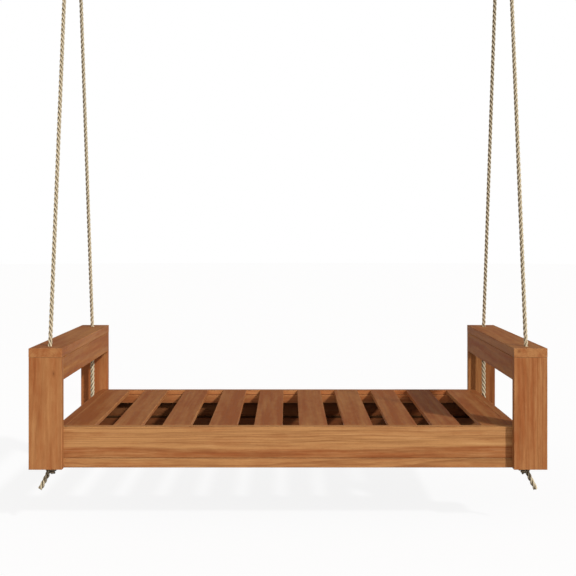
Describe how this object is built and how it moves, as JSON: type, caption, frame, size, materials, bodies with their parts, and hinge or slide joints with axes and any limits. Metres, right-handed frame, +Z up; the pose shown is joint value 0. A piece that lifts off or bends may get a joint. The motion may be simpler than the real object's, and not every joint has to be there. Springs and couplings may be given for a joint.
{
  "type": "hanging porch swing",
  "caption": "Wooden daybed porch swing: slatted deck between two open arm frames, hung on four twisted ropes from ceiling hangers, swinging to and fro",
  "frame": {"origin": "on the ceiling plane, midway between the four hangers that hold the swing up", "axes": "+Z up, +X along the seat to the right arm, -Y to the front"},
  "size_m": [2.2282, 1.0778, 2.6369],
  "materials": {
    "upright_wood": "oiled, warm brown, grain upright",
    "long_wood": "oiled, warm brown, grain along the board",
    "deck_wood": "oiled, warm brown, satin",
    "twisted_rope": "three-strand twisted rope, tan, matt",
    "galvanised_steel": "zinc plated, satin"
  },
  "bodies": {
    "ceiling_hangers": {"left_back_hanger": "galvanised_steel", "left_back_hanger_left_screw": "galvanised_steel", "left_back_hanger_right_screw": "galvanised_steel", "left_front_hanger": "galvanised_steel", "left_front_hanger_left_screw": "galvanised_steel", "left_front_hanger_right_screw": "galvanised_steel", "right_back_hanger": "galvanised_steel", "right_back_hanger_left_screw": "galvanised_steel", "right_back_hanger_right_screw": "galvanised_steel", "right_front_hanger": "galvanised_steel", "right_front_hanger_left_screw": "galvanised_steel", "right_front_hanger_right_screw": "galvanised_steel"},
    "front_ropes": {"left_front_rope_eye": "twisted_rope", "left_front_rope_upper": "twisted_rope", "left_front_thimble": "galvanised_steel", "right_front_rope_eye": "twisted_rope", "right_front_rope_upper": "twisted_rope", "right_front_thimble": "galvanised_steel"},
    "seat": {"back_apron": "long_wood", "back_base_board": "long_wood", "back_cleat": "deck_wood", "front_apron": "long_wood", "front_base_board": "long_wood", "front_cleat": "deck_wood", "left_arm_cap": "long_wood", "left_arm_rail": "long_wood", "left_back_knot": "twisted_rope", "left_back_post": "upright_wood", "left_back_rope_lower": "twisted_rope", "left_front_knot": "twisted_rope", "left_front_post": "upright_wood", "left_front_rope_lower": "twisted_rope", "left_side_board": "long_wood", "right_arm_cap": "long_wood", "right_arm_rail": "long_wood", "right_back_knot": "twisted_rope", "right_back_post": "upright_wood", "right_back_rope_lower": "twisted_rope", "right_front_knot": "twisted_rope", "right_front_post": "upright_wood", "right_front_rope_lower": "twisted_rope", "right_side_board": "long_wood", "slat_01": "deck_wood", "slat_02": "deck_wood", "slat_03": "deck_wood", "slat_04": "deck_wood", "slat_05": "deck_wood", "slat_06": "deck_wood", "slat_07": "deck_wood", "slat_08": "deck_wood", "slat_09": "deck_wood", "slat_10": "deck_wood"},
    "back_ropes": {"left_back_rope_eye": "twisted_rope", "left_back_rope_upper": "twisted_rope", "left_back_thimble": "galvanised_steel", "right_back_rope_eye": "twisted_rope", "right_back_rope_upper": "twisted_rope", "right_back_thimble": "galvanised_steel"}
  },
  "joints": [
    {"name": "swing", "type": "hinge", "parent": "ceiling_hangers", "child": "front_ropes", "pos_m": [0, -0.13635, -0.046], "axis": [1, 0, 0], "range_deg": [-12, 12]},
    {"name": "seat_tilt", "type": "hinge", "parent": "front_ropes", "child": "seat", "pos_m": [0, -0.455, -1.956], "axis": [1, 0, 0], "range_deg": [-4, 4]},
    {"name": "back_rope_turn", "type": "hinge", "parent": "seat", "child": "back_ropes", "pos_m": [0, 0.455, -1.956], "axis": [1, 0, 0], "range_deg": [-4, 4]}
  ],
  "couplings": [
    {"joint": "seat_tilt", "follows": "swing", "ratio": -0.29967},
    {"joint": "back_rope_turn", "follows": "swing", "ratio": 0.29967}
  ]
}
